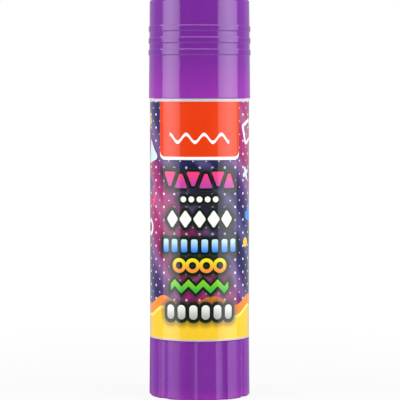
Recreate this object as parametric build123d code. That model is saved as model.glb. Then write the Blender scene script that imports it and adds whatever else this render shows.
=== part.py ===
"""Twist-up glue stick with a pull-off cap.

The stick stands on its turning knob, with +Z up the stick and the origin at the centre of the base.
The knob turns a screw spindle that runs up through the glue. The carrier cup under the glue has a nut
on that screw and is kept from turning by splines in the barrel, so the glue rises as the knob turns.
All sizes are in millimetres.
"""

from build123d import *
import math
import os

# Glue and the clearances and walls that stack outwards from it
glue_radius = 10.15
glue_clearance = 0.15
neck_wall = 1.0
cap_clearance = 0.2
cap_wall = 1.05
barrel_set_in = 0.25
knob_stand_out = 0.03

# Heights, stacked up from the base
knob_height = 14.4
knob_gap = 0.12
rim_height = 0.4
label_height = 57.9
collar_height = 0.7
cap_gap = 0.08
cap_height = 24.4

# Cap shell
cap_draft = 0.25
cap_top_thickness = 1.3
cap_top_rounding = 0.8
cap_rim_rounding = 0.15
cap_shoulder_step = 0.4
cap_shoulder_depth = 2.1
cap_ring_count = 3
cap_ring_pitch = 2.9
cap_ring_height = 1.6
cap_ring_proud = 0.2
cap_ring_bevel = 0.25
cap_ring_rounding = 0.2
cap_ring_drop = 6.55
grip_rib_count = 6
grip_rib_width = 0.9
grip_rib_proud = 0.12
grip_rib_length = 13.0
grip_rib_rim_distance = 7.0
cap_gate_radius = 1.9
cap_gate_depth = 0.3
cap_gate_nub_radius = 0.45
cap_gate_nub_height = 0.15

# Cap liner, the soft plug that closes the barrel's mouth
liner_clearance = 0.05
liner_disc_thickness = 0.9
liner_skirt_wall = 0.8
liner_skirt_clearance = 0.2
liner_plug_depth = 1.5
liner_lead_in = 0.3
head_room = 5.1

# Barrel
label_thickness = 0.1
web_thickness = 1.5
neck_bead_height = 0.8
neck_bead_proud = 0.1
neck_bead_shoulder_distance = 3.5
neck_groove_clearance = 0.12
mouth_rounding = 0.3
spline_count = 4
spline_width = 1.4
spline_height = 0.5
spline_mouth_distance = 4.1
spigot_wall = 1.1
spigot_depth = 6.0
spigot_clearance = 0.25
spigot_bead_proud = 0.3
spigot_bead_height = 0.9
spigot_bead_tip_distance = 1.2
spigot_bead_clearance = 0.1

# Label, wrapped once round the barrel with a lap at the back
label_lap_width = 3.0

# Turning knob
knob_wall = 1.4
knob_draft = 0.14
knob_floor = 1.4
base_recess_depth = 0.6
foot_width = 2.0
knob_edge_rounding = 0.45
knob_top_rounding = 0.2
flute_count = 10
flute_width = 3.4
flute_depth = 0.45
flute_lip_rounding = 0.5
flute_lead_angle = -9.5
hub_wall = 1.4
hub_height = 9.5
gusset_count = 5
gusset_thickness = 1.0
gusset_height = 5.0
gate_mark_radius = 1.2
gate_mark_depth = 0.25

# Screw spindle
drive_flats = 5.0
drive_clearance = 0.05
drive_floor_gap = 0.4
journal_radius = 3.0
journal_clearance = 0.1
spindle_collar_radius = 4.4
spindle_collar_thickness = 1.0
thread_root_radius = 2.2
thread_crest_radius = 3.1
thread_root_width = 1.7
thread_crest_width = 0.9
thread_pitch = 4.0
thread_collar_distance = 0.4
thread_tip_chamfer = 0.6
thread_tip_length = 1.6

# Spindle seal, a soft ring between the spindle's collar and the barrel's web
seal_thickness = 1.0
seal_seat_depth = 0.6
seal_side_clearance = 0.05
seal_top_clearance = 0.05

# Carrier cup
carrier_clearance = 0.2
carrier_height = 9.2
carrier_wall = 1.1
carrier_floor = 1.2
carrier_web_gap = 0.15
nut_wall = 1.2
nut_recess_wall = 1.0
nut_recess_side_clearance = 0.4
nut_recess_top_clearance = 0.25
nut_thread_end_gap = 0.4
thread_radial_clearance = 0.15
thread_flank_clearance = 0.2
spline_clearance = 0.2
fin_count = 4
fin_thickness = 0.8
fin_height = 3.4
barb_count = 2
barb_pitch = 2.3
barb_height = 1.0
barb_proud = 0.35
barb_floor_distance = 3.0

# Glue
glue_set_back = 3.0
glue_over_tip = 4.1
glue_bore_clearance = 0.3
glue_cup_clearance = 0.03
glue_top_rounding = 0.5
glue_tip_clearance = 0.7

# One overrun serves all cuts and the feet of fused ribs
overrun = 0.3

# Radii that follow
bore_radius = glue_radius + glue_clearance
neck_radius = bore_radius + neck_wall
cap_bore_radius = neck_radius + cap_clearance
cap_rim_radius = cap_bore_radius + cap_wall
cap_top_radius = cap_rim_radius - cap_draft
cap_shoulder_radius = cap_bore_radius - cap_shoulder_step
barrel_radius = cap_rim_radius - barrel_set_in
panel_radius = barrel_radius - label_thickness
knob_radius = barrel_radius + knob_stand_out
knob_base_radius = knob_radius + knob_draft
knob_bore_radius = knob_radius - knob_wall
spigot_radius = knob_bore_radius - spigot_clearance
carrier_radius = bore_radius - carrier_clearance
cup_radius = carrier_radius - carrier_wall
spline_floor_radius = bore_radius - spline_height - spline_clearance
nut_bore_radius = thread_crest_radius + thread_radial_clearance
nut_recess_radius = spindle_collar_radius + nut_recess_side_clearance
nut_radius = nut_bore_radius + nut_wall
nut_boss_radius = nut_recess_radius + nut_recess_wall
glue_bore_radius = thread_crest_radius + glue_bore_clearance
hub_socket_flats = drive_flats + 2 * drive_clearance
hub_radius = hub_socket_flats / math.sqrt(3) + hub_wall

# Heights that follow
barrel_low = knob_height + knob_gap
label_low = barrel_low + rim_height
label_top = label_low + label_height
shoulder_z = label_top + collar_height
cap_low = shoulder_z + cap_gap
cap_top = cap_low + cap_height
ceiling_z = cap_top - cap_top_thickness
mouth_z = ceiling_z - head_room
floor_top = base_recess_depth + knob_floor
hub_top = floor_top + hub_height
web_top = barrel_low + web_thickness
spigot_low = barrel_low - spigot_depth
seal_low = web_top - seal_seat_depth
seal_top = seal_low + seal_thickness
collar_low = seal_top + seal_top_clearance
collar_top = collar_low + spindle_collar_thickness
carrier_low = web_top + carrier_web_gap
carrier_top = carrier_low + carrier_height
cup_floor_z = carrier_low + carrier_floor
nut_low = collar_top + nut_recess_top_clearance
nut_boss_top = nut_low + carrier_floor
glue_top = mouth_z - glue_set_back
thread_top = glue_top - glue_over_tip
thread_low = collar_top + thread_collar_distance
spline_top = mouth_z - spline_mouth_distance


def turned(*points):
    """Solid of revolution about Z from a closed outline of (radius, height) points."""
    outline = make_face(Polyline(*points, close=True))
    return revolve(Plane.XZ * outline, axis=Axis.Z)


def disc(radius, low, top):
    """Round plate or plug between two heights."""
    return turned((0, low), (radius, low), (radius, top), (0, top))


def ring(inner, outer, low, top):
    """Round tube between two heights."""
    return turned((inner, low), (outer, low), (outer, top), (inner, top))


def bar(inner, outer, width, low, top):
    """Upright bar along +X from one radius to another, centred on the XZ plane."""
    block = Box(outer - inner, width, top - low, align=(Align.MIN, Align.CENTER, Align.MIN))
    return Pos(inner, 0, low) * block


def around(shape, count, first_angle=0):
    """Copies of a shape spaced evenly about Z."""
    return [Rot(0, 0, first_angle + n * 360 / count) * shape for n in range(count)]


def rounded_ring(inner, radius, low, height, proud, bevel, rounding):
    """Bead round a wall: bevelled flanks with rounded outer corners, and a foot inside the wall."""
    top = low + height
    outline = make_face(
        Polyline(
            (inner, low),
            (radius, low),
            (radius + proud, low + bevel),
            (radius + proud, top - bevel),
            (radius, top),
            (inner, top),
            close=True,
        )
    )
    outline = fillet(outline.vertices().group_by(Axis.X)[-1], rounding)
    return revolve(Plane.XZ * outline, axis=Axis.Z)


def helical_ridge(path_radius, profile, low, height):
    """Left-hand ridge wound about Z. The profile holds (radius, half width) pairs from its foot out."""
    path = Helix(pitch=thread_pitch, height=height, radius=path_radius, lefthand=True)
    near = [(radius - path_radius, -half) for radius, half in profile]
    far = [(radius - path_radius, half) for radius, half in reversed(profile)]
    section_plane = Plane(origin=path @ 0, x_dir=(1, 0, 0), z_dir=path % 0)
    section = section_plane * make_face(Polyline(*near, *far, close=True))
    return Pos(0, 0, low) * sweep(section, path=path, is_frenet=True)


def cap_wall_radius(z):
    """Outside radius of the drafted cap wall at a height."""
    return cap_rim_radius - cap_draft * (z - cap_low) / cap_height


def make_cap_shell():
    """Closed cap with outside grip rings, a gate mark on top and fine friction ribs inside."""
    shoulder_step_z = ceiling_z - cap_shoulder_depth
    shell = turned(
        (0, cap_top),
        (cap_top_radius, cap_top),
        (cap_rim_radius, cap_low),
        (cap_bore_radius, cap_low),
        (cap_bore_radius, shoulder_step_z - cap_shoulder_step),
        (cap_shoulder_radius, shoulder_step_z),
        (cap_shoulder_radius, ceiling_z),
        (0, ceiling_z),
    )
    shell = fillet(shell.edges().group_by(Axis.Z)[-1], cap_top_rounding)
    shell = fillet(shell.edges().group_by(Axis.Z)[0], cap_rim_rounding)
    gate_floor_z = cap_top - cap_gate_depth
    shell -= disc(cap_gate_radius, gate_floor_z, cap_top + overrun)
    shell += disc(cap_gate_nub_radius, gate_floor_z - overrun, gate_floor_z + cap_gate_nub_height)
    for n in range(cap_ring_count):
        top = cap_top - cap_ring_drop - n * cap_ring_pitch
        low = top - cap_ring_height
        wall = cap_wall_radius((top + low) / 2)
        shell += rounded_ring(
            wall - overrun, wall, low, cap_ring_height, cap_ring_proud, cap_ring_bevel, cap_ring_rounding
        )
    rib_low = cap_low + grip_rib_rim_distance
    rib = bar(
        cap_bore_radius - grip_rib_proud,
        cap_bore_radius + overrun,
        grip_rib_width,
        rib_low,
        rib_low + grip_rib_length,
    )
    shell += around(rib, grip_rib_count)
    groove_depth = neck_groove_clearance
    groove_low = shoulder_z + neck_bead_shoulder_distance - groove_depth
    groove_top = groove_low + neck_bead_height + 2 * groove_depth
    shell -= turned(
        (cap_bore_radius - overrun, groove_low),
        (cap_bore_radius, groove_low),
        (cap_bore_radius + groove_depth, groove_low + groove_depth),
        (cap_bore_radius + groove_depth, groove_top - groove_depth),
        (cap_bore_radius, groove_top),
        (cap_bore_radius - overrun, groove_top),
    )
    return shell


def make_cap_liner():
    """Soft plug: a disc against the cap's ceiling and a skirt that dips into the barrel's mouth."""
    disc_radius = cap_shoulder_radius - liner_clearance
    skirt_outer = bore_radius - liner_skirt_clearance
    skirt_inner = skirt_outer - liner_skirt_wall
    disc_low = ceiling_z - liner_disc_thickness
    skirt_low = mouth_z - liner_plug_depth
    return turned(
        (0, ceiling_z),
        (disc_radius, ceiling_z),
        (disc_radius, disc_low),
        (skirt_outer, disc_low),
        (skirt_outer, skirt_low + liner_lead_in),
        (skirt_outer - liner_lead_in, skirt_low),
        (skirt_inner, skirt_low),
        (skirt_inner, disc_low),
        (0, disc_low),
    )


def make_barrel():
    """Tube with a label panel, a neck for the cap, splines in its bore and a snap spigot for the knob."""
    spigot_inner = spigot_radius - spigot_wall
    journal_hole = journal_radius + journal_clearance
    seat_radius = spindle_collar_radius + seal_side_clearance
    barrel = turned(
        (spigot_inner, spigot_low),
        (spigot_radius, spigot_low),
        (spigot_radius, barrel_low),
        (barrel_radius, barrel_low),
        (barrel_radius, label_low),
        (panel_radius, label_low),
        (panel_radius, label_top),
        (barrel_radius, label_top),
        (barrel_radius, shoulder_z),
        (neck_radius, shoulder_z),
        (neck_radius, mouth_z),
        (bore_radius, mouth_z),
        (bore_radius, web_top),
        (seat_radius, web_top),
        (seat_radius, seal_low),
        (journal_hole, seal_low),
        (journal_hole, barrel_low),
        (spigot_inner, barrel_low),
    )
    mouth_edges = barrel.edges().group_by(Axis.Z)[-1]
    barrel = fillet(mouth_edges, mouth_rounding)
    bead_low = shoulder_z + neck_bead_shoulder_distance
    barrel += turned(
        (neck_radius - overrun, bead_low),
        (neck_radius, bead_low),
        (neck_radius + neck_bead_proud, bead_low + neck_bead_proud),
        (neck_radius + neck_bead_proud, bead_low + neck_bead_height - neck_bead_proud),
        (neck_radius, bead_low + neck_bead_height),
        (neck_radius - overrun, bead_low + neck_bead_height),
    )
    spigot_bead_low = spigot_low + spigot_bead_tip_distance
    barrel += turned(
        (spigot_radius - overrun, spigot_bead_low),
        (spigot_radius, spigot_bead_low),
        (spigot_radius + spigot_bead_proud, spigot_bead_low + spigot_bead_height - spigot_bead_proud),
        (spigot_radius + spigot_bead_proud, spigot_bead_low + spigot_bead_height),
        (spigot_radius - overrun, spigot_bead_low + spigot_bead_height),
    )
    spline = bar(bore_radius - spline_height, bore_radius + overrun, spline_width, web_top, spline_top)
    barrel += around(spline, spline_count)
    return barrel


def make_label():
    """Printed film flush in the barrel's panel, its free end lapped over at the back."""
    wrap = ring(panel_radius, barrel_radius, label_low, label_top)
    lap_angle = math.degrees(label_lap_width / barrel_radius)
    flap_radius = barrel_radius + label_thickness
    flap_outline = make_face(
        Polyline(
            (barrel_radius, label_low),
            (flap_radius, label_low),
            (flap_radius, label_top),
            (barrel_radius, label_top),
            close=True,
        )
    )
    flap = revolve(Plane.XZ * flap_outline, axis=Axis.Z, revolution_arc=lap_angle)
    lap_start = 90 - lap_angle / 2
    return wrap + Rot(0, 0, lap_start) * flap


def knob_section(radius, z):
    """Level section of the knob's wall: a circle with shallow round flutes and rounded lips."""
    arc_radius = (flute_width**2 / 4 + flute_depth**2) / (2 * flute_depth)
    flute = Pos(radius - flute_depth + arc_radius, 0) * Circle(arc_radius)
    section = Circle(radius) - around(flute, flute_count)
    section = fillet(section.vertices(), flute_lip_rounding)
    return Pos(0, 0, z) * Rot(0, 0, flute_lead_angle - 90) * section


def make_turning_knob():
    """Fluted knob: a cup that snaps over the barrel's spigot, with a hub that drives the spindle."""
    knob = loft([knob_section(knob_base_radius, 0), knob_section(knob_radius, knob_height)], ruled=True)
    knob = fillet(knob.edges().group_by(Axis.Z)[0], knob_edge_rounding)
    knob = fillet(knob.edges().group_by(Axis.Z)[-1], knob_top_rounding)
    knob -= disc(knob_bore_radius, floor_top, knob_height + overrun)
    knob -= disc(knob_base_radius - foot_width, -overrun, base_recess_depth)
    knob -= disc(gate_mark_radius, base_recess_depth - overrun, base_recess_depth + gate_mark_depth)
    snap_low = spigot_low + spigot_bead_tip_distance - spigot_bead_clearance
    snap_top = spigot_low + spigot_bead_tip_distance + spigot_bead_height + spigot_bead_clearance
    snap_radius = spigot_radius + spigot_bead_proud + spigot_bead_clearance
    knob -= ring(knob_bore_radius - overrun, snap_radius, snap_low, snap_top)
    knob += disc(hub_radius, floor_top - overrun, hub_top)
    gusset = bar(
        hub_radius - overrun,
        knob_bore_radius + overrun,
        gusset_thickness,
        floor_top - overrun,
        floor_top + gusset_height,
    )
    knob += around(gusset, gusset_count)
    hexagon = RegularPolygon(hub_socket_flats / 2, 6, major_radius=False)
    knob -= Pos(0, 0, floor_top) * extrude(hexagon, hub_height + overrun)
    return knob


def make_screw_spindle():
    """Spindle with a hexagonal drive end, a plain journal, a collar and a coarse left-hand thread."""
    drive_low = floor_top + drive_floor_gap
    hexagon = RegularPolygon(drive_flats / 2, 6, major_radius=False)
    drive = Pos(0, 0, drive_low) * extrude(hexagon, hub_top - drive_low)
    spindle = drive + disc(journal_radius, hub_top, collar_low)
    spindle += disc(spindle_collar_radius, collar_low, collar_top)
    core = disc(thread_root_radius, collar_top, thread_top)
    core = chamfer(core.edges().group_by(Axis.Z)[-1], thread_tip_chamfer)
    winding = helical_ridge(
        thread_root_radius,
        [
            (thread_root_radius - overrun, thread_root_width / 2),
            (thread_root_radius, thread_root_width / 2),
            (thread_crest_radius, thread_crest_width / 2),
        ],
        thread_low + thread_root_width / 2,
        thread_top - thread_low - thread_root_width / 2 - thread_tip_length,
    )
    return spindle + core + winding


def make_spindle_seal():
    """Soft ring in the web's seat, round the journal."""
    inner = journal_radius + journal_clearance
    return ring(inner, spindle_collar_radius, seal_low, seal_top)


def carrier_barbs(grown_by):
    """Rings inside the cup's skirt that hold the glue, or the grooves they leave in it."""
    rings = []
    for n in range(barb_count):
        low = cup_floor_z + barb_floor_distance + n * barb_pitch - grown_by
        top = low + barb_height + 2 * grown_by
        rings.append(
            turned(
                (cup_radius + overrun, low),
                (cup_radius, low),
                (cup_radius - barb_proud - grown_by, top),
                (cup_radius + overrun, top),
            )
        )
    return rings


def carrier_fins(grown_by):
    """Low radial fins on the cup's floor, or the slots they leave in the glue."""
    fin = bar(
        nut_boss_radius - overrun,
        cup_radius + overrun,
        fin_thickness + 2 * grown_by,
        cup_floor_z - overrun,
        cup_floor_z + fin_height + grown_by,
    )
    return around(fin, fin_count, 180 / fin_count)


def spline_slots(low, top):
    """Cutters that clear the barrel's splines."""
    slot_width = spline_width + 2 * spline_clearance
    slot = bar(spline_floor_radius, bore_radius + overrun, slot_width, low - overrun, top + overrun)
    return around(slot, spline_count)


def make_carrier_cup():
    """Piston cup: a slotted skirt, a floor, and a nut tube with one inside turn of thread."""
    carrier = turned(
        (nut_recess_radius, carrier_low),
        (carrier_radius, carrier_low),
        (carrier_radius, carrier_top),
        (cup_radius, carrier_top),
        (cup_radius, cup_floor_z),
        (nut_boss_radius, cup_floor_z),
        (nut_boss_radius, nut_boss_top),
        (nut_radius, nut_boss_top),
        (nut_radius, carrier_top),
        (nut_bore_radius, carrier_top),
        (nut_bore_radius, nut_low),
        (nut_recess_radius, nut_low),
    )
    carrier += carrier_barbs(0)
    carrier += carrier_fins(0)
    carrier -= spline_slots(carrier_low, carrier_top)
    tip_half = (thread_pitch - thread_root_width) / 2 - thread_flank_clearance
    foot_half = (thread_pitch - thread_crest_width) / 2 - thread_flank_clearance
    turn_low = nut_low + nut_thread_end_gap + foot_half
    turn_high = carrier_top - nut_thread_end_gap - foot_half
    turn = helical_ridge(
        nut_bore_radius,
        [
            (nut_bore_radius + overrun, foot_half),
            (nut_bore_radius, foot_half),
            (thread_root_radius + thread_radial_clearance, tip_half),
        ],
        turn_low,
        turn_high - turn_low,
    )
    groove_centre_z = thread_low + (thread_root_width + thread_pitch) / 2
    into_groove = 360 * (groove_centre_z - turn_low) / thread_pitch
    return carrier + Rot(0, 0, into_groove) * turn


def make_glue_stick():
    """Glue cast round the spindle and into the carrier cup, with a groove for each spline."""
    body_low = carrier_top + glue_cup_clearance
    glue = turned(
        (nut_radius + glue_cup_clearance, nut_boss_top + glue_cup_clearance),
        (nut_boss_radius + glue_cup_clearance, nut_boss_top + glue_cup_clearance),
        (nut_boss_radius + glue_cup_clearance, cup_floor_z),
        (cup_radius - glue_cup_clearance, cup_floor_z),
        (cup_radius - glue_cup_clearance, body_low),
        (glue_radius, body_low),
        (glue_radius, glue_top),
        (0, glue_top),
        (0, thread_top + glue_tip_clearance),
        (glue_bore_radius, thread_top + glue_tip_clearance),
        (glue_bore_radius, body_low),
        (nut_radius + glue_cup_clearance, body_low),
    )
    glue = fillet(glue.edges().group_by(Axis.Z)[-1], glue_top_rounding)
    glue -= carrier_barbs(glue_cup_clearance)
    glue -= carrier_fins(glue_cup_clearance)
    glue -= spline_slots(body_low, glue_top)
    return glue


makers = {
    "cap_shell": make_cap_shell,
    "cap_liner": make_cap_liner,
    "barrel": make_barrel,
    "label_wrap": make_label,
    "glue_stick": make_glue_stick,
    "carrier_cup": make_carrier_cup,
    "screw_spindle": make_screw_spindle,
    "spindle_seal": make_spindle_seal,
    "turning_knob": make_turning_knob,
}

os.makedirs("parts", exist_ok=True)
for name, make in makers.items():
    piece = make()
    export_step(piece, f"parts/{name}.step")

whole_turns = math.floor((thread_top - nut_low - carrier_height / 2) / thread_pitch)
print(f"stands {cap_top:.2f} mm tall, glue rises {whole_turns * thread_pitch:.1f} mm in {whole_turns} turns")
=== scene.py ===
"""Looks of the twist-up glue stick: plastics, printed label, glue, studio and camera.

Lengths are metres in the model's own frame: +Z up the stick, with the label's front towards -Y.
The label's print is drawn in millimetres: u runs round the tube from the front, v up from the label's foot.
"""

import math

import bmesh
import bpy
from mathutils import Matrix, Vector, noise


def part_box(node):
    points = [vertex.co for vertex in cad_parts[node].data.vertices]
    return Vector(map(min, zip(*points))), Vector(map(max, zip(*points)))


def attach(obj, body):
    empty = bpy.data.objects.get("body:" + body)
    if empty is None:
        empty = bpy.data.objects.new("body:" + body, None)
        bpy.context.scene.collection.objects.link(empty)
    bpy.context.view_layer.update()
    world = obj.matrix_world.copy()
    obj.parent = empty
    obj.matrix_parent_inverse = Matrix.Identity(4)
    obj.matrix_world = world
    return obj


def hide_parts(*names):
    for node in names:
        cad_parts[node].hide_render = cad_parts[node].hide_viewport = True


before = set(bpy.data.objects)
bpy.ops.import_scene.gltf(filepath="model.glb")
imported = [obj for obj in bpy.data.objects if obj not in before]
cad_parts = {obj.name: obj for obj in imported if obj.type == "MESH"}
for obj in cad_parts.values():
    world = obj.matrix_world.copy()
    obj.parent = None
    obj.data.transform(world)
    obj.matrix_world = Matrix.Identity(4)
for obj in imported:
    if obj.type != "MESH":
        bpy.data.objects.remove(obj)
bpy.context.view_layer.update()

MM = 0.001

# Colours as they look on screen, 0 to 255
CAP_PURPLE = (118, 42, 151)
# Paler purple: lower down on the cap, and painted floor light on the knob's foot
PURPLE_PALE = (154, 53, 172)
KNOB_PURPLE = (128, 48, 160)
# Whites darkened as painted shade, for the collar that sits in the cap's shadow
SHADED_WHITE = (200, 189, 201)
WHITE_PLASTIC_PALE = (218, 210, 219)
LINER_WHITE = (222, 224, 222)
SEAL_GREY = (150, 150, 154)
GLUE_VIOLET = (124, 84, 196)
GLUE_VIOLET_PALE = (140, 104, 208)
FILM_WHITE = (240, 240, 242)

NIGHT_BLUE = (34, 36, 92)
SLATE_VIOLET = (112, 104, 158)
PLUM = (92, 44, 118)
MAGENTA = (166, 42, 112)
ROSE = (176, 112, 158)
RED_ORANGE = (232, 60, 8)
PRINT_WHITE = (250, 250, 246)
OUTLINE = (10, 18, 12)
PANEL_GREEN = (34, 50, 38)
HOT_PINK = (250, 62, 128)
ORCHID = (190, 70, 170)
SKY_BLUE = (40, 140, 240)
PALE_BLUE = (200, 236, 250)
LEMON = (244, 236, 40)
SUN_YELLOW = (255, 208, 48)
PALE_YELLOW = (250, 240, 120)
TANGERINE = (252, 146, 56)
LIME = (140, 216, 40)
GRASS = (44, 184, 64)
SILVER = (176, 182, 172)
PALE_CYAN = (206, 238, 240)
ROYAL_BLUE = (62, 66, 150)

# Glue, as cast in the carrier cup
GLUE_RADIUS = 10.15 * MM
GLUE_TOP_ROUNDING = 0.7 * MM
GLUE_TOP_DISH = 0.22 * MM
GLUE_TOP_RINGS = 12
GLUE_ROUNDING_STEPS = 6
GLUE_CUP_GAP = 0.05 * MM
GLUE_SEGMENTS = 360
GLUE_GROOVE_COUNT = 4
GLUE_GROOVE_HALF_WIDTH = 0.9 * MM
GLUE_GROOVE_FLOOR_RADIUS = 9.6 * MM
GLUE_BORE_RADIUS = 3.4 * MM
GLUE_BORE_TOP_DEPTH = 3.4 * MM
GLUE_PLUG_RADIUS = 8.6 * MM
GLUE_PLUG_INNER_RADIUS = 6.0 * MM
GLUE_PLUG_DEPTH = 4.4 * MM
GLUE_STEP = 1.2 * MM
GLUE_UNEVENNESS = 0.035 * MM
GLUE_LUMP_SIZE = 4.0 * MM
GLUE_PIT_DEPTH = 2 * GLUE_UNEVENNESS
GLUE_PITS_PER_LUMP = 2.3
GLUE_SHARP_EDGE_DEG = 35

# Camera, measured from the photograph
CAMERA_DISTANCE = 0.520
CAMERA_HEIGHT = 0.0734
CAMERA_AIM_HEIGHT = 0.0484
CAMERA_SIDE = 0.00012
CAMERA_LENS_MM = 188.8
SENSOR_WIDTH_MM = 36.0

# Studio
SOFTBOX_BEARINGS_AND_HALF_SPREADS = ((-69.4, 23.2), (69.4, 26.4))
SOFTBOX_DISTANCE = 0.9
SOFTBOX_HEIGHT = 1.3
SOFTBOX_CENTRE_Z = 0.12
SOFTBOX_WATTS_PER_SQUARE_METRE = 13.1
SOFTBOX_EDGE_LEVEL_SHARE = 0.62
FILL_STRENGTH = 0.42
CARD_RADIUS = 1.5
CARD_LOW = -1.5
CARD_HIGH = 1.6
CARD_SEGMENTS = 72
CARD_BEARINGS = (0.0, 46.0, 125.0, 180.0)
CARD_LEVELS = (0.06, 0.3, 0.5)
OVERHEAD_RADIUS = 1.3
OVERHEAD_HEIGHT = 1.1
OVERHEAD_LEVEL = 3.0
TABLE_RADIUS = 0.22
TABLE_SEGMENTS = 96
TABLE_CLEAR_RADIUS = 0.03
TABLE_FADE_END_SHARE = 0.8
TABLE_GLOW_SHARE = 0.9
TABLE_WHITE = (0.9, 0.9, 0.9, 1.0)
TABLE_ROUGHNESS = 0.6
WHITE_LIGHT = (1.0, 1.0, 1.0, 1.0)


# Shader formulas

NOISE_LOW = 0.3
NOISE_HIGH = 0.7
MIX_FIRST_COLOUR = 6
MIX_SECOND_COLOUR = 7
MIX_COLOUR_RESULT = 2


class Formula:
    """A number that shader nodes work out, written with ordinary operators."""

    def __init__(self, tree, socket):
        self.tree = tree
        self.socket = socket

    def by(self, operation, *others):
        """The result of a named operation on this number and the others."""
        node = self.tree.nodes.new("ShaderNodeMath")
        node.operation = operation
        for slot, value in zip(node.inputs, (self, *others)):
            plug(self.tree, value, slot)
        return Formula(self.tree, node.outputs[0])

    def __add__(self, other):
        return self.by("ADD", other)

    def __sub__(self, other):
        return self.by("SUBTRACT", other)

    def __mul__(self, other):
        return self.by("MULTIPLY", other)

    def __truediv__(self, other):
        return self.by("DIVIDE", other)

    def __abs__(self):
        return self.by("ABSOLUTE")

    def __neg__(self):
        return self.by("MULTIPLY", -1.0)

    def least(self, other):
        return self.by("MINIMUM", other)

    def most(self, other):
        return self.by("MAXIMUM", other)

    def rounded(self):
        return self.by("ROUND")

    def sine(self):
        return self.by("SINE")

    def ramp(self, start, end, low=0.0, high=1.0):
        """Runs smoothly from low at start to high at end."""
        node = self.tree.nodes.new("ShaderNodeMapRange")
        node.interpolation_type = "SMOOTHSTEP"
        plug(self.tree, self, node.inputs["Value"])
        set_inputs(node, {"From Min": start, "From Max": end, "To Min": low, "To Max": high})
        return Formula(self.tree, node.outputs["Result"])

    def spread(self, low, high):
        """Runs from low to high over the span that soft noise mostly keeps to."""
        return self.ramp(NOISE_LOW, NOISE_HIGH, low, high)


def plug(tree, value, slot):
    """Links a formula or a socket to an input, or sets the input to a plain value."""
    if isinstance(value, Formula):
        tree.links.new(value.socket, slot)
    elif isinstance(value, bpy.types.NodeSocket):
        tree.links.new(value, slot)
    else:
        slot.default_value = value


def set_inputs(node, values):
    """Sets a node's inputs, by name, to plain values."""
    for name, value in values.items():
        node.inputs[name].default_value = value


def linear(colour):
    """An on-screen colour as the linear one that shaders take."""
    channels = [c / 255 for c in colour]
    return (*[c / 12.92 if c <= 0.04045 else ((c + 0.055) / 1.055) ** 2.4 for c in channels], 1.0)


def blend_colours(tree, share, first, second):
    """A colour that runs from first to second as share goes from 0 to 1."""
    node = tree.nodes.new("ShaderNodeMix")
    node.data_type = "RGBA"
    plug(tree, share, node.inputs["Factor"])
    plug(tree, linear(first) if isinstance(first, tuple) else first, node.inputs[MIX_FIRST_COLOUR])
    plug(tree, linear(second) if isinstance(second, tuple) else second, node.inputs[MIX_SECOND_COLOUR])
    return node.outputs[MIX_COLOUR_RESULT]


def length(a, b):
    return (a * a + b * b).by("SQRT")


def position(tree):
    """The point's place in the model's frame, in millimetres, as three formulas."""
    place = tree.nodes.new("ShaderNodeTexCoord")
    split = tree.nodes.new("ShaderNodeSeparateXYZ")
    tree.links.new(place.outputs["Object"], split.inputs[0])
    return [Formula(tree, socket) / MM for socket in split.outputs]


def clouds(tree, place, scale, detail=4.0, roughness=0.55, across=1.0, along=1.0):
    """Soft noise from 0 to 1 at a place, finer across or along the stick where that number is above 1."""
    x, y, z = place
    joined = tree.nodes.new("ShaderNodeCombineXYZ")
    for slot, value in zip(joined.inputs, (x * across, y * across, z * along)):
        plug(tree, value, slot)
    node = tree.nodes.new("ShaderNodeTexNoise")
    tree.links.new(joined.outputs[0], node.inputs["Vector"])
    set_inputs(node, {"Scale": scale, "Detail": detail, "Roughness": roughness})
    return Formula(tree, node.outputs["Fac"])


def bump(tree, height, distance):
    """Surface relief from a height formula, with the distance in metres."""
    node = tree.nodes.new("ShaderNodeBump")
    plug(tree, height, node.inputs["Height"])
    node.inputs["Distance"].default_value = distance
    return node.outputs["Normal"]


def new_material(name):
    """An empty principled material: the material, its tree and its shader node."""
    material = bpy.data.materials.new(name)
    material.use_nodes = True
    return material, material.node_tree, material.node_tree.nodes["Principled BSDF"]


# Plastics

PLASTIC_IOR = 1.49
PALENESS_BY_HEIGHT = 0.85
PALENESS_BY_STREAKS = 0.25
RUBBED_ROUGHNESS_RATIO = 2.2
SCRATCH_ROUGHNESS = 0.1
MATTE_GRAIN_HEIGHT = 1.5
SOFT_GRAIN_SHADE = 0.88
MATTE_ROUGHNESS = 0.5
MATTE_BLEND_HEIGHT = 0.05
CAP_FINISH = {
    "deep": CAP_PURPLE,
    "pale_low": 72.0,
    "pale_high": 86.5,
    "gloss_roughness": 0.06,
    "shine": 0.5,
}
# The knob's paler lowest 3 mm is painted light: a painted glow from the white floor below.
KNOB_FINISH = {
    "deep": KNOB_PURPLE,
    "pale_low": 0.0,
    "pale_high": 3.0,
    "gloss_roughness": 0.15,
    "shine": 0.22,
}


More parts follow.
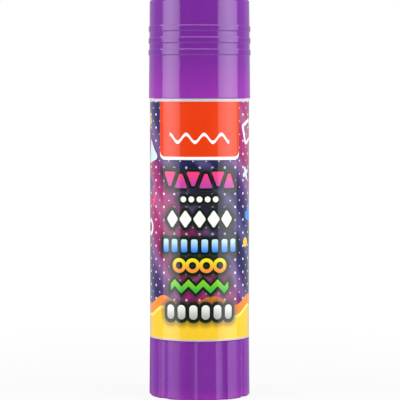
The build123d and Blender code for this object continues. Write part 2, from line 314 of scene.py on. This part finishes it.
def moulded_plastic(name, matte_above, deep, pale_low, pale_high, gloss_roughness, shine):
    """Glossy moulded polypropylene, paler lower down and matte above a height; the knob's paler foot is
    painted light, a painted glow from the white floor below.

    It has faint flow streaks, orange peel and light scratches.
    """
    material, tree, shader = new_material(name)
    place = position(tree)
    z = place[2]
    streaks = clouds(tree, place, scale=0.9, along=0.08)
    # Paler lower down, with flow streaks; on the knob this paler foot is a painted glow of floor light.
    paleness = z.ramp(pale_high, pale_low) * PALENESS_BY_HEIGHT + (streaks - 0.5) * PALENESS_BY_STREAKS
    tree.links.new(blend_colours(tree, paleness, deep, PURPLE_PALE), shader.inputs["Base Color"])
    rubbed = clouds(tree, place, scale=0.6, detail=6.0, roughness=0.65, along=0.5)
    rubbed_roughness = rubbed.ramp(0.35, 0.8, gloss_roughness, gloss_roughness * RUBBED_ROUGHNESS_RATIO)
    scratches = clouds(tree, place, scale=2.2, detail=3.0, roughness=0.7, across=0.35, along=9.0)
    matte = z.ramp(matte_above - MATTE_BLEND_HEIGHT, matte_above)
    roughness = rubbed_roughness + scratches.ramp(0.66, 0.74) * SCRATCH_ROUGHNESS
    plug(tree, roughness.most(matte * MATTE_ROUGHNESS), shader.inputs["Roughness"])
    peel = clouds(tree, place, scale=1.6, detail=2.0)
    grain = clouds(tree, place, scale=9.0, detail=3.0, roughness=0.7) * matte
    relief = bump(tree, peel + grain * MATTE_GRAIN_HEIGHT, distance=0.012 * MM)
    plug(tree, relief, shader.inputs["Normal"])
    set_inputs(shader, {
        "IOR": PLASTIC_IOR,
        "Specular IOR Level": shine,
        "Subsurface Weight": 0.06,
        "Subsurface Radius": (1.0, 0.4, 1.0),
        "Subsurface Scale": 0.8 * MM,
    })
    return material


def white_plastic():
    """Semi-gloss white polypropylene, faintly translucent, with fine draw lines, in whites darkened as
    painted shade from the cap.
    """
    material, tree, shader = new_material("white_polypropylene")
    place = position(tree)
    mottled = clouds(tree, place, scale=0.5, along=0.3)
    # Mottled between the two whites, which carry painted shade from the cap
    colour = blend_colours(tree, mottled, SHADED_WHITE, WHITE_PLASTIC_PALE)
    tree.links.new(colour, shader.inputs["Base Color"])
    lines = clouds(tree, place, scale=1.4, detail=3.0, across=4.0, along=0.1)
    plug(tree, lines.spread(0.2, 0.34), shader.inputs["Roughness"])
    plug(tree, bump(tree, lines, distance=0.01 * MM), shader.inputs["Normal"])
    set_inputs(shader, {
        "IOR": PLASTIC_IOR,
        "Specular IOR Level": 0.3,
        "Subsurface Weight": 0.2,
        "Subsurface Radius": (1.0, 0.9, 0.95),
        "Subsurface Scale": 1.0 * MM,
    })
    return material


def soft_plastic(name, colour, roughness, translucency):
    """Soft seal or liner material with a dull, slightly grainy skin."""
    material, tree, shader = new_material(name)
    grain = clouds(tree, position(tree), scale=3.0, detail=5.0)
    darker = tuple(c * SOFT_GRAIN_SHADE for c in colour)
    tree.links.new(blend_colours(tree, grain, darker, colour), shader.inputs["Base Color"])
    plug(tree, grain.spread(roughness * 0.85, roughness * 1.15), shader.inputs["Roughness"])
    plug(tree, bump(tree, grain, distance=0.02 * MM), shader.inputs["Normal"])
    set_inputs(shader, {
        "Subsurface Weight": translucency,
        "Subsurface Radius": (1.0, 1.0, 1.0),
        "Subsurface Scale": 0.8 * MM,
    })
    return material


def glue_material():
    """Waxy violet glue: cloudy inside, with a soft sheen, fine pits and sliding marks up its side."""
    material, tree, shader = new_material("violet_glue")
    place = position(tree)
    cloudiness = clouds(tree, place, scale=0.35, detail=5.0)
    mix = blend_colours(tree, cloudiness.ramp(0.3, 0.75), GLUE_VIOLET, GLUE_VIOLET_PALE)
    tree.links.new(mix, shader.inputs["Base Color"])
    marks = clouds(tree, place, scale=1.0, across=3.0, along=0.15)
    pits = clouds(tree, place, scale=2.6, detail=3.0).ramp(0.66, 0.8)
    plug(tree, marks.spread(0.34, 0.52) + pits * 0.2, shader.inputs["Roughness"])
    plug(tree, bump(tree, marks * 0.6 - pits, distance=0.05 * MM), shader.inputs["Normal"])
    set_inputs(shader, {
        "IOR": 1.45,
        "Subsurface Weight": 0.45,
        "Subsurface Radius": (0.8, 0.55, 1.0),
        "Subsurface Scale": 1.6 * MM,
        "Coat Weight": 0.15,
        "Coat Roughness": 0.3,
    })
    return material


# Label print

LABEL_RADIUS_MM = 12.3
FILM_EDGE_DEPTH = 0.05
FILM_EDGE_SOFTNESS = 0.01
PRINT_SOFTNESS = 0.03
DOT_COLUMNS = 24
DOT_PITCH = 2 * math.pi * LABEL_RADIUS_MM / DOT_COLUMNS
DOT_SHIFTS_AND_RADII = ((0.0, 0.3), (0.5, 0.17))
DOT_SOFTNESS = 0.06
DOT_STRENGTH = 0.9
GROUND_BANDS = 2
GROUND_SLANT = 0.11
GROUND_DRIFT = 0.6
STRIPES_PER_BAND = 4.0
STRIPE_DRIFT = 2.0
STRIPE_STRENGTH = 0.5
BORDER_WAVES = 6
BORDER_WAVE_HEIGHT = 1.2
ORANGE_BORDER_TOP = 9.4
PALE_BORDER_TOP = 6.9
YELLOW_BORDER_TOP = 6.1
OUTLINE_WIDTH = 0.9
OUTLINE_SOFTNESS = 0.06
OUTLINE_CORE_SHARE = 0.6
OUTLINE_FADE_SHARE = 0.5
SHADOW_WIDTH = 1.8
SHADOW_STRENGTH = 0.6
TRIANGLE_DISC_DROP_SHARE = 0.3
TRIANGLE_DISC_RADIUS_SHARE = 1.15


def disc_edge(u, v, radius):
    """Distance outside a disc's edge, in millimetres, negative inside it."""
    return length(u, v) - radius


def shared_edge(first, second):
    """Distance outside the part that two shapes share, round its corners where they cross squarely."""
    return length(first.most(0.0), second.most(0.0)) + first.most(second).least(0.0)


def block_edge(u, v, half_width, half_height, rounding):
    """Distance outside the edge of a block with rounded corners."""
    return shared_edge(abs(u) - (half_width - rounding), abs(v) - (half_height - rounding)) - rounding


def diamond_edge(u, v, half_width, half_height, rounding):
    """Distance outside the edge of a diamond with rounded corners."""
    slope = math.hypot(half_width, half_height)
    flank = (abs(u) * half_height + abs(v) * half_width - half_width * half_height) / slope - rounding
    return flank.most(abs(v) - half_height).most(abs(u) - half_width)


def triangle_edge(u, v, half_width, half_height, rounding):
    """Distance outside the edge of a triangle that points up, with its corners cut round."""
    slope = math.hypot(half_width, 2 * half_height)
    flank = (abs(u) * (2 * half_height) + (v - half_height) * half_width) / slope
    disc_middle = -half_height * TRIANGLE_DISC_DROP_SHARE
    corners = disc_edge(u, v - disc_middle, half_height * TRIANGLE_DISC_RADIUS_SHARE)
    return (flank.most(-v - half_height) - rounding).most(corners)


def repeat(u, pitch, count):
    """Place within the nearest of a row of copies, and the copy's number from the middle."""
    reach = (count - 1) / 2
    shift = reach % 1
    number = (u / pitch - shift).rounded() + shift
    number = number.most(-reach).least(reach)
    return u - number * pitch, number


class Print:
    """Inks laid one over another on the label."""

    def __init__(self, tree, ground):
        self.tree = tree
        self.colour = ground

    def lay(self, ink, edge, softness=PRINT_SOFTNESS, strength=1.0):
        cover = edge.ramp(softness, -softness, 0.0, strength)
        self.colour = blend_colours(self.tree, cover, self.colour, ink)


def label_ground(tree, u, v, place):
    """Broad soft bands of indigo and magenta, with paler stripes, that wind slantwise round the tube."""
    drift = clouds(tree, place, scale=0.08, detail=2.0)
    phase = u * (GROUND_BANDS / LABEL_RADIUS_MM) + v * GROUND_SLANT
    side = phase.sine() + (drift - 0.5) * GROUND_DRIFT
    ground = blend_colours(tree, side.ramp(-0.9, 0.1), NIGHT_BLUE, PLUM)
    ground = blend_colours(tree, side.ramp(0.0, 0.9), ground, MAGENTA)
    waves = (phase * STRIPES_PER_BAND + drift * STRIPE_DRIFT).sine()
    stripes = waves.ramp(-0.2, 1.0, 0.0, STRIPE_STRENGTH)
    tint = blend_colours(tree, side.ramp(-0.3, 0.5), SLATE_VIOLET, ROSE)
    return blend_colours(tree, stripes, ground, tint)


def lay_dots(art, u, v):
    """Small white dots in staggered rows, large and small in turn."""
    for shift, radius in DOT_SHIFTS_AND_RADII:
        across = u / DOT_PITCH + shift
        up = v / DOT_PITCH + shift
        near_u = (across - across.rounded()) * DOT_PITCH
        near_v = (up - up.rounded()) * DOT_PITCH
        art.lay(PRINT_WHITE, disc_edge(near_u, near_v, radius), DOT_SOFTNESS, DOT_STRENGTH)


def lay_border(art, u, v):
    """Orange and yellow waves, one above another, that run round the label's foot."""
    crest = (u * (BORDER_WAVES / LABEL_RADIUS_MM)).sine() * BORDER_WAVE_HEIGHT
    art.lay(TANGERINE, v - crest - ORANGE_BORDER_TOP)
    art.lay(PALE_YELLOW, v - crest - PALE_BORDER_TOP)
    art.lay(SUN_YELLOW, v - crest - YELLOW_BORDER_TOP)


BANNER_HALF_WIDTH = 11.1
BANNER_HEIGHT = 13.4
BANNER_OVERRUN = 3.0
BANNER_ROUNDING = 1.6
BANNER_FOOT_LINE = 0.75
BANNER_SHADOW_WIDTH = 0.3
BANNER_SHADOW_SOFTNESS = 0.5
BANNER_SHADOW_STRENGTH = 0.45
BANNER_WAVE_DROP = 8.9
BANNER_WAVE_HALF_LENGTH = 2.2
BANNER_WAVE_HEIGHT = 0.95
BANNER_WAVE_HALF_LINE = 0.42
BANNER_WAVE_REACH = 7.7


def lay_banner(art, u, v, top):
    """Red block at the top of the front, with a white line below and a white wave inside."""
    middle = top - BANNER_HEIGHT / 2 + BANNER_OVERRUN
    half_height = BANNER_HEIGHT / 2 + BANNER_OVERRUN
    block = block_edge(u, v - middle, BANNER_HALF_WIDTH, half_height, BANNER_ROUNDING)
    under = block_edge(u, v - middle + BANNER_FOOT_LINE, BANNER_HALF_WIDTH, half_height, BANNER_ROUNDING)
    art.lay(OUTLINE, under - BANNER_SHADOW_WIDTH, BANNER_SHADOW_SOFTNESS, BANNER_SHADOW_STRENGTH)
    art.lay(PRINT_WHITE, under)
    art.lay(RED_ORANGE, block)
    crest = (u * (math.pi / BANNER_WAVE_HALF_LENGTH)).sine() * BANNER_WAVE_HEIGHT
    line = abs(v - (top - BANNER_WAVE_DROP) - crest) - BANNER_WAVE_HALF_LINE
    art.lay(PRINT_WHITE, line.most(abs(u) - BANNER_WAVE_REACH))


# Shapes of the front's rows, each drawn round its own middle in a row of numbered copies

TRIANGLE_COUNT = 6
RING_RADIUS = 1.35
RING_HALF_LINE = 0.45
ZIGZAG_HALF_RISE = 0.9
ZIGZAG_HALF_BAND = 0.6
ZIGZAG_REACH = 7.2
ZIGZAG_ROUNDING = 0.25


def turned_triangle(u, v, number):
    """Triangle that points up and down in turn."""
    place_in_row = number + (TRIANGLE_COUNT - 1) / 2
    flip = place_in_row.by("PINGPONG", 1.0) * 2.0 - 1.0
    return triangle_edge(u, v * flip, half_width=1.35, half_height=1.75, rounding=0.25)


def dot(u, v, number):
    return disc_edge(u, v, radius=0.72)


def diamond(u, v, number):
    return diamond_edge(u, v, half_width=1.45, half_height=2.0, rounding=0.15)


def tile(u, v, number):
    return block_edge(u, v, half_width=0.8, half_height=1.6, rounding=0.5)


def ring(u, v, number):
    return abs(disc_edge(u, v, RING_RADIUS)) - RING_HALF_LINE


def zigzag(u, v, number):
    """One zigzag band with rounded ends."""
    centre_line = (u + ZIGZAG_HALF_RISE).by("PINGPONG", 2 * ZIGZAG_HALF_RISE) - ZIGZAG_HALF_RISE
    return shared_edge(abs(v - centre_line) - ZIGZAG_HALF_BAND, abs(u) - ZIGZAG_REACH) - ZIGZAG_ROUNDING


def pill(u, v, number):
    return block_edge(u, v, half_width=1.0, half_height=1.75, rounding=0.95)


# Each row's shape, middle height, pitch, count, upper and lower ink, and half their blend's height
MOTIF_ROWS = (
    (turned_triangle, 38.9, 3.1, TRIANGLE_COUNT, HOT_PINK, ORCHID, 2.1),
    (dot, 34.2, 2.0, 5, PRINT_WHITE, PRINT_WHITE, 0.9),
    (diamond, 29.4, 3.5, 5, PRINT_WHITE, PRINT_WHITE, 2.1),
    (tile, 22.9, 2.55, 8, PALE_BLUE, SKY_BLUE, 1.6),
    (ring, 18.1, 3.4, 4, LEMON, TANGERINE, 1.9),
    (zigzag, 13.0, 15.0, 1, LIME, GRASS, 2.0),
    (pill, 6.7, 3.0, 6, PRINT_WHITE, SILVER, 1.9),
)


def lay_motifs(art, u, v):
    """Rows of bright shapes with a dark outline that joins them and a soft shadow round it."""
    rows = []
    for shape, middle, pitch, count, top_ink, foot_ink, half_height in MOTIF_ROWS:
        near, number = repeat(u, pitch, count)
        blend = v.ramp(middle - half_height, middle + half_height)
        rows.append((shape(near, v - middle, number), blend_colours(art.tree, blend, foot_ink, top_ink)))
    union = rows[0][0]
    for edge, ink in rows[1:]:
        union = union.least(edge)
    art.lay(OUTLINE, union - OUTLINE_WIDTH - SHADOW_WIDTH / 2, SHADOW_WIDTH / 2, SHADOW_STRENGTH)
    art.lay(PANEL_GREEN, union - OUTLINE_WIDTH, OUTLINE_SOFTNESS)
    art.lay(OUTLINE, union - OUTLINE_WIDTH * OUTLINE_CORE_SHARE, OUTLINE_WIDTH * OUTLINE_FADE_SHARE)
    for edge, ink in rows:
        art.lay(ink, edge)


# Plain shapes of the flanks and the back, each drawn round its own middle

BAR_SHARE = 0.3
HOOP_HALF_LINE_SHARE = 0.24
FRAME_HALF_LINE_SHARE = 0.18


def square_edge(u, v, size):
    return block_edge(u, v, half_width=size, half_height=size, rounding=size * 0.2)


def bar_edge(u, v, size):
    return block_edge(u, v, half_width=size, half_height=size * BAR_SHARE, rounding=size * BAR_SHARE)


def wedge_edge(u, v, size):
    return triangle_edge(u, v, half_width=size, half_height=size, rounding=size * 0.1)


def plus_edge(u, v, size):
    return bar_edge(u, v, size).least(bar_edge(v, u, size))


def hoop_edge(u, v, size):
    return abs(disc_edge(u, v, size)) - size * HOOP_HALF_LINE_SHARE


def frame_edge(u, v, size):
    return abs(square_edge(u, v, size)) - size * FRAME_HALF_LINE_SHARE


# Each shape's edge, place, size, turn in degrees and ink
CONFETTI = (
    (square_edge, -17.6, 53.4, 1.5, 30, SUN_YELLOW),
    (wedge_edge, -15.4, 46.0, 2.6, 15, PALE_CYAN),
    (bar_edge, -13.9, 33.6, 1.7, 60, HOT_PINK),
    (hoop_edge, -16.6, 27.0, 1.7, 0, PRINT_WHITE),
    (square_edge, -18.6, 37.6, 3.0, 45, ROYAL_BLUE),
    (frame_edge, 15.6, 50.6, 2.3, 20, PRINT_WHITE),
    (plus_edge, 14.4, 40.4, 1.7, 25, PALE_CYAN),
    (wedge_edge, 16.8, 31.0, 2.3, -20, SKY_BLUE),
    (disc_edge, 14.2, 23.4, 1.2, 0, SUN_YELLOW),
    (disc_edge, 24.4, 44.6, 3.8, 0, TANGERINE),
    (frame_edge, 31.4, 35.4, 2.8, 40, PALE_CYAN),
    (wedge_edge, 23.6, 26.4, 3.2, 10, HOT_PINK),
    (hoop_edge, 32.0, 50.4, 2.4, 0, SUN_YELLOW),
    (plus_edge, 30.6, 22.4, 2.3, 20, PRINT_WHITE),
    (square_edge, -25.0, 37.0, 3.0, 25, TANGERINE),
    (wedge_edge, -31.6, 48.6, 3.4, -12, LIME),
    (disc_edge, -27.0, 24.6, 3.2, 0, SKY_BLUE),
    (plus_edge, -33.4, 33.0, 2.2, 35, PRINT_WHITE),
    (hoop_edge, -23.0, 50.6, 2.2, 0, HOT_PINK),
)


def lay_confetti(art, u, v):
    """Larger plain shapes on both flanks and round the back."""
    for edge, at_u, at_v, size, degrees, ink in CONFETTI:
        cosine = math.cos(math.radians(degrees))
        sine = math.sin(math.radians(degrees))
        off_u = u - at_u
        off_v = v - at_v
        art.lay(ink, edge(off_u * cosine + off_v * sine, off_v * cosine - off_u * sine, size))


def label_material():
    """Printed film under a clear gloss laminate."""
    low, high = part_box("label_wrap")
    material, tree, shader = new_material("printed_film")
    place = position(tree)
    x, y, z = place
    u = x.by("ARCTAN2", -y) * LABEL_RADIUS_MM
    v = z - low.z / MM
    art = Print(tree, label_ground(tree, u, v, place))
    lay_dots(art, u, v)
    lay_border(art, u, v)
    lay_confetti(art, u, v)
    lay_banner(art, u, v, (high.z - low.z) / MM)
    lay_motifs(art, u, v)
    art.lay(FILM_WHITE, length(x, y) - (LABEL_RADIUS_MM - FILM_EDGE_DEPTH), FILM_EDGE_SOFTNESS)
    tree.links.new(art.colour, shader.inputs["Base Color"])
    ripple = clouds(tree, place, scale=0.25, detail=2.0, along=0.4)
    plug(tree, bump(tree, ripple, distance=0.03 * MM), shader.inputs["Coat Normal"])
    grain = clouds(tree, place, scale=1.2)
    plug(tree, grain.spread(0.32, 0.42), shader.inputs["Roughness"])
    set_inputs(shader, {
        "Coat Weight": 1.0,
        "Coat Roughness": 0.05,
        "Coat IOR": 1.33,
        "Specular IOR Level": 0.1,
    })
    return material


def add_object(name, data):
    """Puts new data into the scene as an object."""
    obj = bpy.data.objects.new(name, data)
    bpy.context.scene.collection.objects.link(obj)
    return obj


# Glue body


def glue_outline():
    """The glue's half section from the middle of its top, down its side and up its bore."""
    _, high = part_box("glue_stick")
    _, cup_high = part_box("carrier_cup")
    top = high.z
    body_low = cup_high.z + GLUE_CUP_GAP
    points = []
    flat_radius = GLUE_RADIUS - GLUE_TOP_ROUNDING
    for n in range(GLUE_TOP_RINGS + 1):
        share = n / GLUE_TOP_RINGS
        points.append((flat_radius * share, top - GLUE_TOP_DISH * (1 - share**2)))
    for n in range(1, GLUE_ROUNDING_STEPS + 1):
        angle = math.pi / 2 * n / GLUE_ROUNDING_STEPS
        across = flat_radius + GLUE_TOP_ROUNDING * math.sin(angle)
        points.append((across, top - GLUE_TOP_ROUNDING * (1 - math.cos(angle))))
    side_top = top - GLUE_TOP_ROUNDING
    steps = round((side_top - body_low) / GLUE_STEP)
    for n in range(1, steps + 1):
        points.append((GLUE_RADIUS, side_top + (body_low - side_top) * n / steps))
    plug_low = body_low - GLUE_PLUG_DEPTH
    bore_top = top - GLUE_BORE_TOP_DEPTH
    points += [
        (GLUE_PLUG_RADIUS, body_low),
        (GLUE_PLUG_RADIUS, plug_low),
        (GLUE_PLUG_INNER_RADIUS, plug_low),
        (GLUE_PLUG_INNER_RADIUS, body_low),
        (GLUE_BORE_RADIUS, body_low),
        (GLUE_BORE_RADIUS, bore_top),
        (0.0, bore_top),
    ]
    return points


def glue_point(radius, z, angle, worn_above):
    """A point of the glue's surface, with its spline grooves and the small unevenness of a cast stick."""
    side = Vector((math.cos(angle), math.sin(angle)))
    if radius > GLUE_GROOVE_FLOOR_RADIUS - GLUE_STEP:
        groove_angle = 2 * math.pi / GLUE_GROOVE_COUNT
        offset = (angle + groove_angle / 2) % groove_angle - groove_angle / 2
        across = abs(radius * math.sin(offset))
        if across < GLUE_GROOVE_HALF_WIDTH:
            radius = min(radius, GLUE_GROOVE_FLOOR_RADIUS / math.cos(offset))
    place = Vector((side.x * radius, side.y * radius, z)) / GLUE_LUMP_SIZE
    inward = GLUE_UNEVENNESS * (0.5 + 0.5 * noise.noise(place))
    if z > worn_above:
        z -= abs(GLUE_PIT_DEPTH * noise.noise(place * GLUE_PITS_PER_LUMP))
    share = min(1.0, radius / GLUE_RADIUS)
    return side.x * (radius - inward * share), side.y * (radius - inward * share), z


def make_glue():
    """Glue stick as one closed mesh, finer than the CAD solid that it stands for."""
    outline = glue_outline()
    worn_above = outline[0][1] - 2 * GLUE_TOP_ROUNDING
    angles = [2 * math.pi * n / GLUE_SEGMENTS for n in range(GLUE_SEGMENTS)]
    mesh = bmesh.new()
    rings = []
    for radius, z in outline:
        around = angles if radius > 0.0 else [0.0]
        rings.append([mesh.verts.new(glue_point(radius, z, angle, worn_above)) for angle in around])
    for upper, lower in zip(rings, rings[1:]):
        for n in range(GLUE_SEGMENTS):
            after = (n + 1) % GLUE_SEGMENTS
            if len(upper) == 1:
                mesh.faces.new((upper[0], lower[n], lower[after]))
            elif len(lower) == 1:
                mesh.faces.new((upper[n], lower[0], upper[after]))
            else:
                mesh.faces.new((upper[n], lower[n], lower[after], upper[after]))
    bmesh.ops.recalc_face_normals(mesh, faces=mesh.faces)
    data = bpy.data.meshes.new("glue_body")
    mesh.to_mesh(data)
    mesh.free()
    for face in data.polygons:
        face.use_smooth = True
    data.set_sharp_from_angle(angle=math.radians(GLUE_SHARP_EDGE_DEG))
    glue = add_object("glue_body", data)
    data.materials.append(glue_material())
    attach(glue, "carrier")
    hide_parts("glue_stick")


# Studio


def emission_material(name, strength):
    """A material that only glows, in white."""
    material = bpy.data.materials.new(name)
    material.use_nodes = True
    tree = material.node_tree
    tree.nodes.clear()
    glow = tree.nodes.new("ShaderNodeEmission")
    set_inputs(glow, {"Color": WHITE_LIGHT, "Strength": strength})
    out = tree.nodes.new("ShaderNodeOutputMaterial")
    tree.links.new(glow.outputs[0], out.inputs["Surface"])
    return material


def seen_only_in_reflections(obj):
    obj.visible_camera = False
    obj.visible_diffuse = False
    obj.visible_transmission = False
    obj.visible_volume_scatter = False
    obj.visible_shadow = False


def make_reflection_card(name, from_deg, to_deg, level):
    """Curved card round the stick between two bearings from the front, seen only in reflections."""
    data = bpy.data.meshes.new(name)
    steps = max(2, round(CARD_SEGMENTS * (to_deg - from_deg) / 360))
    vertices = []
    faces = []
    for n in range(steps + 1):
        bearing = math.radians(from_deg + (to_deg - from_deg) * n / steps)
        for z in (CARD_LOW, CARD_HIGH):
            vertices.append((CARD_RADIUS * math.sin(bearing), -CARD_RADIUS * math.cos(bearing), z))
        if n:
            faces.append((2 * n - 2, 2 * n, 2 * n + 1, 2 * n - 1))
    data.from_pydata(vertices, [], faces)
    data.materials.append(emission_material(name, level))
    card = add_object(name, data)
    seen_only_in_reflections(card)


def make_overhead_card():
    """Bright round card above the stick, seen only in reflections on edges that face up."""
    mesh = bmesh.new()
    bmesh.ops.create_circle(mesh, cap_ends=True, segments=CARD_SEGMENTS, radius=OVERHEAD_RADIUS)
    data = bpy.data.meshes.new("overhead_card")
    mesh.to_mesh(data)
    mesh.free()
    data.materials.append(emission_material("overhead_glow", OVERHEAD_LEVEL))
    card = add_object("overhead_card", data)
    card.location.z = OVERHEAD_HEIGHT
    seen_only_in_reflections(card)


def make_softbox(name, bearing_deg, half_spread_deg):
    """Tall soft lamp at a bearing from the front, facing the stick, brightest along its middle."""
    lamp = bpy.data.lights.new(name, "AREA")
    lamp.shape = "RECTANGLE"
    lamp.size = 2 * SOFTBOX_DISTANCE * math.tan(math.radians(half_spread_deg))
    lamp.size_y = SOFTBOX_HEIGHT
    lamp.energy = SOFTBOX_WATTS_PER_SQUARE_METRE * lamp.size * lamp.size_y
    lamp.use_nodes = True
    tree = lamp.node_tree
    across = tree.nodes.new("ShaderNodeNewGeometry")
    split = tree.nodes.new("ShaderNodeSeparateXYZ")
    tree.links.new(across.outputs["Parametric"], split.inputs[0])
    off_centre = abs(Formula(tree, split.outputs[0]) - 0.5)
    level = off_centre.ramp(0.5, 0.0, SOFTBOX_EDGE_LEVEL_SHARE, 1.0)
    plug(tree, level, tree.nodes["Emission"].inputs["Strength"])
    softbox = add_object(name, lamp)
    bearing = math.radians(bearing_deg)
    softbox.location = (
        SOFTBOX_DISTANCE * math.sin(bearing),
        -SOFTBOX_DISTANCE * math.cos(bearing),
        SOFTBOX_CENTRE_Z,
    )
    facing = Vector((-softbox.location.x, -softbox.location.y, 0.0))
    softbox.rotation_euler = facing.to_track_quat("-Z", "Y").to_euler()
    softbox.visible_camera = False


def make_table():
    """Round white table that fades into the white background away from the stick."""
    mesh = bmesh.new()
    bmesh.ops.create_circle(mesh, cap_ends=True, segments=TABLE_SEGMENTS, radius=TABLE_RADIUS)
    data = bpy.data.meshes.new("table")
    mesh.to_mesh(data)
    mesh.free()
    material, tree, shader = new_material("white_table")
    x, y, _ = position(tree)
    set_inputs(shader, {"Base Color": TABLE_WHITE, "Roughness": TABLE_ROUGHNESS, "Specular IOR Level": 0.0})
    glow = tree.nodes.new("ShaderNodeEmission")
    rays = tree.nodes.new("ShaderNodeLightPath")
    fade_end = TABLE_FADE_END_SHARE * TABLE_RADIUS / MM
    far = length(x, y).ramp(TABLE_CLEAR_RADIUS / MM, fade_end, TABLE_GLOW_SHARE, 1.0)
    share = Formula(tree, rays.outputs["Is Camera Ray"]) * far
    mixer = tree.nodes.new("ShaderNodeMixShader")
    plug(tree, share, mixer.inputs["Fac"])
    tree.links.new(shader.outputs[0], mixer.inputs[1])
    tree.links.new(glow.outputs[0], mixer.inputs[2])
    tree.links.new(mixer.outputs[0], tree.nodes["Material Output"].inputs["Surface"])
    data.materials.append(material)
    table = add_object("table", data)
    table.visible_glossy = False


def make_world():
    """White to the camera and in clear reflections, and a plain soft fill for everything else."""
    world = bpy.data.worlds.new("studio")
    world.use_nodes = True
    bpy.context.scene.world = world
    tree = world.node_tree
    background = tree.nodes["Background"]
    background.inputs["Color"].default_value = WHITE_LIGHT
    rays = tree.nodes.new("ShaderNodeLightPath")
    seen = Formula(tree, rays.outputs["Is Camera Ray"])
    seen = seen.most(rays.outputs["Is Glossy Ray"]).most(rays.outputs["Is Transmission Ray"])
    plug(tree, seen * (1.0 - FILL_STRENGTH) + FILL_STRENGTH, background.inputs["Strength"])


def make_camera():
    """Camera at the photograph's place and angle."""
    data = bpy.data.cameras.new("camera")
    data.lens = CAMERA_LENS_MM
    data.sensor_width = SENSOR_WIDTH_MM
    camera = add_object("camera", data)
    camera.location = (CAMERA_SIDE, -CAMERA_DISTANCE, CAMERA_HEIGHT)
    aim = Vector((CAMERA_SIDE, 0.0, CAMERA_AIM_HEIGHT))
    camera.rotation_euler = (aim - camera.location).to_track_quat("-Z", "Y").to_euler()
    bpy.context.scene.camera = camera


def finish_cad_nodes():
    """Gives every CAD piece that shows its own finish."""
    _, cap_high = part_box("cap_shell")
    cap_top_mm = cap_high.z / MM
    white = white_plastic()
    finishes = {
        "cap_shell": moulded_plastic("cap_polypropylene", cap_top_mm, **CAP_FINISH),
        "turning_knob": moulded_plastic("knob_polypropylene", cap_top_mm, **KNOB_FINISH),
        "barrel": white,
        "carrier_cup": white,
        "screw_spindle": white,
        "cap_liner": soft_plastic("natural_polyethylene", LINER_WHITE, 0.38, 0.35),
        "spindle_seal": soft_plastic("grey_elastomer", SEAL_GREY, 0.6, 0.0),
        "label_wrap": label_material(),
    }
    for node, material in finishes.items():
        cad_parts[node].material_slots[0].material = material


finish_cad_nodes()
make_glue()
make_world()
for bearing_deg, half_spread_deg in SOFTBOX_BEARINGS_AND_HALF_SPREADS:
    make_softbox("softbox", bearing_deg, half_spread_deg)
for from_deg, to_deg, level in zip(CARD_BEARINGS, CARD_BEARINGS[1:], CARD_LEVELS):
    make_reflection_card(f"left_card_{from_deg:.0f}", -to_deg, -from_deg, level)
    make_reflection_card(f"right_card_{from_deg:.0f}", from_deg, to_deg, level)
make_overhead_card()
make_table()
make_camera()
bpy.context.scene.view_settings.view_transform = "Standard"
